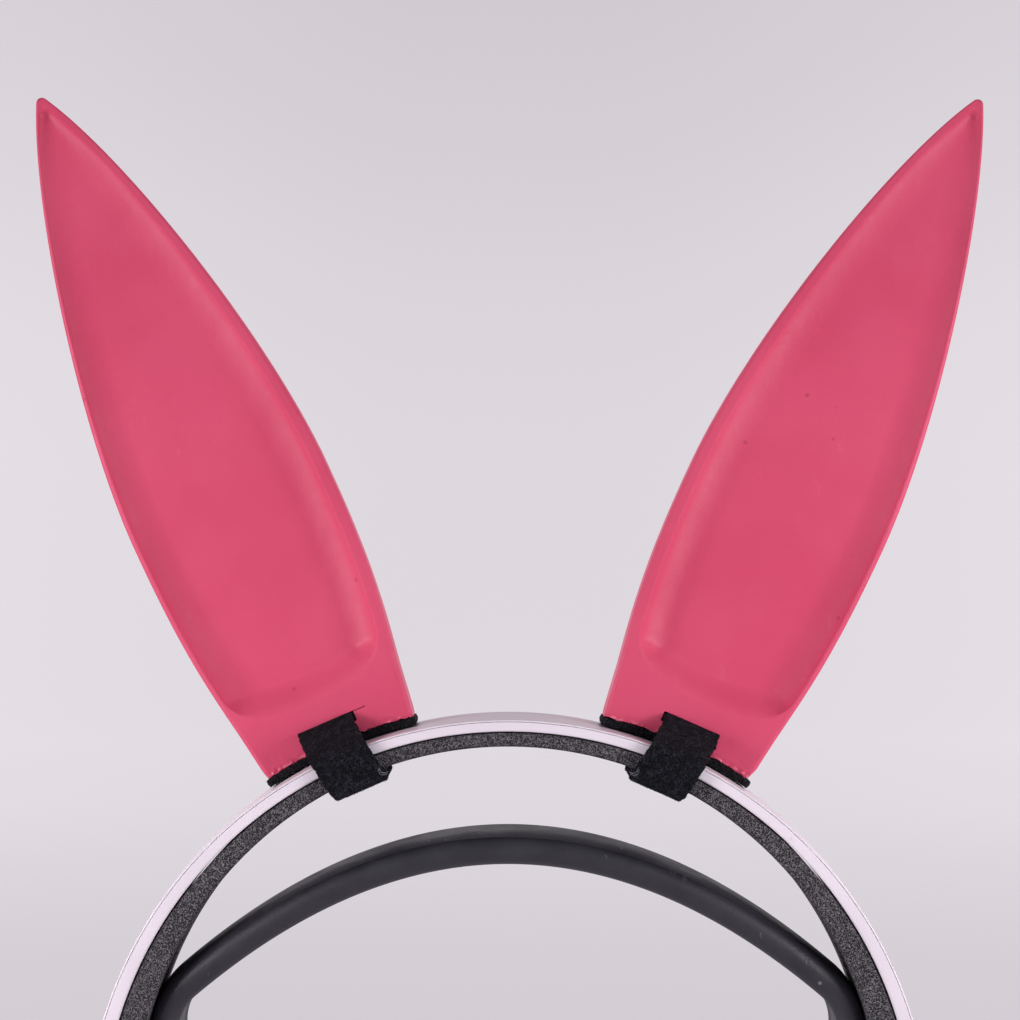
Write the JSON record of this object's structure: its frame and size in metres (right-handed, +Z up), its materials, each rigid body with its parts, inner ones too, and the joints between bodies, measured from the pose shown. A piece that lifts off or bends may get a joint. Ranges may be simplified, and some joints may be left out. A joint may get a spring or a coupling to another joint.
{
  "type": "animal ears headband",
  "caption": "Pair of long dished animal ears on soft pads, strapped with hook-and-loop tape to a two-layer headband arch that has a suspension strap inside it.",
  "frame": {"origin": "middle of the suspension strap's underside, where the head or a hook carries the headband", "axes": "+Z up, +X to the right seen from the front, the ears' dished fronts face -Y"},
  "size_m": [0.2095, 0.0441, 0.2324],
  "materials": {
    "ear": "satin pink print",
    "shell": "satin lavender white",
    "cover": "fine pebbled grain",
    "cap": "matte dark",
    "steel": "brushed",
    "strap": "smooth matte",
    "slider": "matte black",
    "felt": "felt",
    "loop": "fuzzy loop pile",
    "hook": "woven hook side"
  },
  "bodies": {
    "band": {"top_skin": "shell", "outer_frame": "shell", "spring_strip": "steel", "inner_cover": "cover", "end_cap_left": "cap", "end_cap_right": "cap"},
    "suspension": {"suspension_strap": "strap", "slider_left": "slider", "slider_right": "slider", "rivet_left": "steel", "rivet_right": "steel"},
    "left_ear": {"ear_left": "ear", "saddle_pad_left": "felt", "loop_strap_left": "loop", "hook_layer_left": "hook"},
    "right_ear": {"ear_right": "ear", "saddle_pad_right": "felt", "loop_strap_right": "loop", "hook_layer_right": "hook"},
    "left_tab": {"tab_left": "loop"},
    "right_tab": {"tab_right": "loop"}
  },
  "joints": [
    {"name": "ear_left_shift", "type": "hinge", "parent": "band", "child": "left_ear", "pos_m": [0, 0, -0.06], "axis": [0, 1, 0], "range_deg": [-4, 4]},
    {"name": "tab_left_peel", "type": "hinge", "parent": "left_ear", "child": "left_tab", "pos_m": [-0.0361, 0.0222, 0.02342], "axis": [0.9178, 0, 0.3971], "range_deg": [0, 110]},
    {"name": "ear_right_shift", "type": "hinge", "parent": "band", "child": "right_ear", "pos_m": [0, 0, -0.06], "axis": [0, 1, 0], "range_deg": [-4, 4]},
    {"name": "tab_right_peel", "type": "hinge", "parent": "right_ear", "child": "right_tab", "pos_m": [0.03639, 0.0222, 0.0233], "axis": [0.9164, 0, -0.4003], "range_deg": [0, 110]},
    {"name": "suspension_slide", "type": "slide", "parent": "band", "child": "suspension", "axis": [0, 0, -1], "range_m": [0, 0.007]}
  ]
}
